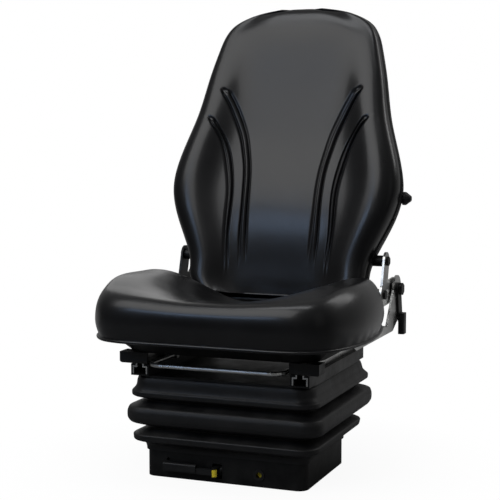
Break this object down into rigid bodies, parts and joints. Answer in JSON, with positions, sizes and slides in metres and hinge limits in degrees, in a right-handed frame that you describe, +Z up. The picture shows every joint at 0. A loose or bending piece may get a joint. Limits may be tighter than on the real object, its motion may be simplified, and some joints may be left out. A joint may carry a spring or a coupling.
{
  "type": "mechanical suspension seat",
  "caption": "High-back operator seat in black vinyl on a scissor suspension with rubber bellows, slide rails, reclining back and front weight adjuster.",
  "frame": {"origin": "centre of the floor bolt pattern, on the face that stands on the floor", "axes": "+Z up, -Y to the seat's front, +X to the occupant's left"},
  "size_m": [0.4902, 0.5368, 0.8501],
  "materials": {
    "vinyl": "satin grained vinyl-coated fabric over foam",
    "bellows_rubber": "matte moulded rubber",
    "black_steel": "satin black powder coat",
    "zinc_steel": "bright zinc plate",
    "spring_steel": "oiled black spring wire",
    "black_plastic": "fine grained moulded plastic",
    "yellow_plastic": "bright moulded plastic",
    "stop_rubber": "matte"
  },
  "bodies": {
    "base": {"base_pan": "black_steel", "window_bezel": "black_plastic", "base_channels": "black_steel", "base_ears": "black_steel", "base_pivot_pins": "zinc_steel", "bump_stops": "stop_rubber", "drum_bracket": "black_steel", "drum_pin": "zinc_steel", "spindle_bearing": "black_steel", "bellows": "bellows_rubber", "spring_left": "spring_steel", "spring_right": "spring_steel"},
    "weight_drum": {"weight_drum": "black_steel"},
    "weight_lever": {"weight_lever": "black_plastic", "lever_marker": "yellow_plastic"},
    "spindle": {"spindle": "zinc_steel"},
    "yoke": {"tension_yoke": "black_steel", "weight_pointer": "yellow_plastic"},
    "outer_arms": {"outer_arm_left": "black_steel", "outer_arm_right": "black_steel", "outer_cross_tube": "black_steel", "upper_roller_shaft": "zinc_steel", "centre_bolts": "zinc_steel"},
    "inner_arms": {"inner_arm_left": "black_steel", "inner_arm_right": "black_steel", "inner_cross_tube": "black_steel", "lower_roller_shaft": "zinc_steel"},
    "upper_roller_left": {"upper_roller_left": "black_plastic"},
    "upper_roller_right": {"upper_roller_right": "black_plastic"},
    "lower_roller_left": {"lower_roller_left": "black_plastic"},
    "lower_roller_right": {"lower_roller_right": "black_plastic"},
    "damper_tube": {"damper_tube": "black_steel"},
    "damper_rod": {"damper_rod": "zinc_steel"},
    "upper_frame": {"upper_plate": "black_steel", "upper_channels": "black_steel", "upper_ears": "black_steel", "upper_pivot_shaft": "zinc_steel", "lower_rail_left": "black_steel", "lower_rail_right": "black_steel"},
    "seat": {"upper_rail_left": "zinc_steel", "upper_rail_right": "zinc_steel", "rail_cover_left": "black_plastic", "rail_cover_right": "black_plastic", "seat_pan": "black_steel", "seat_cushion": "vinyl", "side_plate_left": "black_steel", "side_plate_right": "zinc_steel", "side_plate_spacers": "zinc_steel", "bar_pivots": "zinc_steel", "hinge_bolts": "black_steel"},
    "release_bar": {"release_bar": "zinc_steel"},
    "recline_lever": {"recline_lever": "black_steel", "recline_grip": "black_plastic"},
    "backrest": {"back_cushion": "vinyl", "back_shell": "black_plastic", "back_bracket_left": "black_steel", "back_bracket_right": "zinc_steel", "bracket_bolts": "black_steel"},
    "lumbar_knob": {"lumbar_knob": "black_plastic"}
  },
  "joints": [
    {"name": "suspension", "type": "hinge", "parent": "base", "child": "outer_arms", "pos_m": [0, -0.104, 0.0173], "axis": [-1, 0, 0], "range_deg": [0, 27], "stiffness_Nm_per_rad": 200, "springref_deg": -17.19, "deforming": ["bellows", "spring_left", "spring_right"]},
    {"name": "scissor_pivot", "type": "hinge", "parent": "outer_arms", "child": "inner_arms", "pos_m": [0, -0.03381, 0.092], "axis": [-1, 0, 0], "range_deg": [-54, 0]},
    {"name": "plate_pivot", "type": "hinge", "parent": "inner_arms", "child": "upper_frame", "pos_m": [0, -0.104, 0.1667], "axis": [-1, 0, 0], "range_deg": [0, 27.01]},
    {"name": "damper_swing", "type": "hinge", "parent": "outer_arms", "child": "damper_tube", "pos_m": [-0.074, -0.08645, 0.03598], "axis": [-1, 0, 0], "range_deg": [-27.01, 0]},
    {"name": "damper_stroke", "type": "slide", "parent": "damper_tube", "child": "damper_rod", "axis": [0, 1, 0], "range_m": [0, 0.04181]},
    {"name": "upper_roll_left", "type": "hinge", "parent": "outer_arms", "child": "upper_roller_left", "pos_m": [-0.12, 0.03637, 0.1667], "axis": [1, 0, 0], "continuous": true},
    {"name": "upper_roll_right", "type": "hinge", "parent": "outer_arms", "child": "upper_roller_right", "pos_m": [0.12, 0.03637, 0.1667], "axis": [1, 0, 0], "continuous": true},
    {"name": "lower_roll_left", "type": "hinge", "parent": "inner_arms", "child": "lower_roller_left", "pos_m": [-0.11, 0.03637, 0.0173], "axis": [1, 0, 0], "continuous": true},
    {"name": "lower_roll_right", "type": "hinge", "parent": "inner_arms", "child": "lower_roller_right", "pos_m": [0.11, 0.03637, 0.0173], "axis": [1, 0, 0], "continuous": true},
    {"name": "spindle_turn", "type": "hinge", "parent": "base", "child": "spindle", "pos_m": [-0.012, -0.1, 0.02], "axis": [0, 1, 0], "range_deg": [0, 2880.1]},
    {"name": "yoke_slide", "type": "slide", "parent": "base", "child": "yoke", "axis": [0, 1, 0], "range_m": [0, 0.024]},
    {"name": "lever_stroke", "type": "hinge", "parent": "base", "child": "weight_drum", "pos_m": [-0.012, -0.117, 0.02], "axis": [-1, 0, 0], "range_deg": [-20, 20]},
    {"name": "lever_fold", "type": "hinge", "parent": "weight_drum", "child": "weight_lever", "pos_m": [-0.013, -0.136, 0.02], "axis": [0, 0, 1], "range_deg": [0, 90]},
    {"name": "seat_slide", "type": "slide", "parent": "upper_frame", "child": "seat", "axis": [0, 1, 0], "range_m": [-0.075, 0.075]},
    {"name": "bar_lift", "type": "hinge", "parent": "seat", "child": "release_bar", "pos_m": [0, -0.06, 0.208], "axis": [-1, 0, 0], "range_deg": [0, 5.5], "stiffness_Nm_per_rad": 4, "springref_deg": -14.32},
    {"name": "recline", "type": "hinge", "parent": "seat", "child": "backrest", "pos_m": [0, 0.222, 0.311], "axis": [-1, 0, 0], "range_deg": [0, 25]},
    {"name": "recline_release", "type": "hinge", "parent": "seat", "child": "recline_lever", "pos_m": [0.217, 0.222, 0.311], "axis": [1, 0, 0], "range_deg": [0, 20], "stiffness_Nm_per_rad": 1.5, "springref_deg": -17.19},
    {"name": "lumbar_turn", "type": "hinge", "parent": "backrest", "child": "lumbar_knob", "pos_m": [0.232, 0.20473, 0.48428], "axis": [1, 0, 0], "range_deg": [0, 270]}
  ],
  "couplings": [
    {"joint": "scissor_pivot", "follows": "suspension", "ratio": -2},
    {"joint": "plate_pivot", "follows": "suspension", "ratio": 1},
    {"joint": "damper_swing", "follows": "suspension", "ratio": -1},
    {"joint": "damper_stroke", "follows": "suspension", "m_per_rad": 0.0887},
    {"joint": "spindle_turn", "follows": "yoke_slide", "rad_per_m": 2094.4}
  ]
}
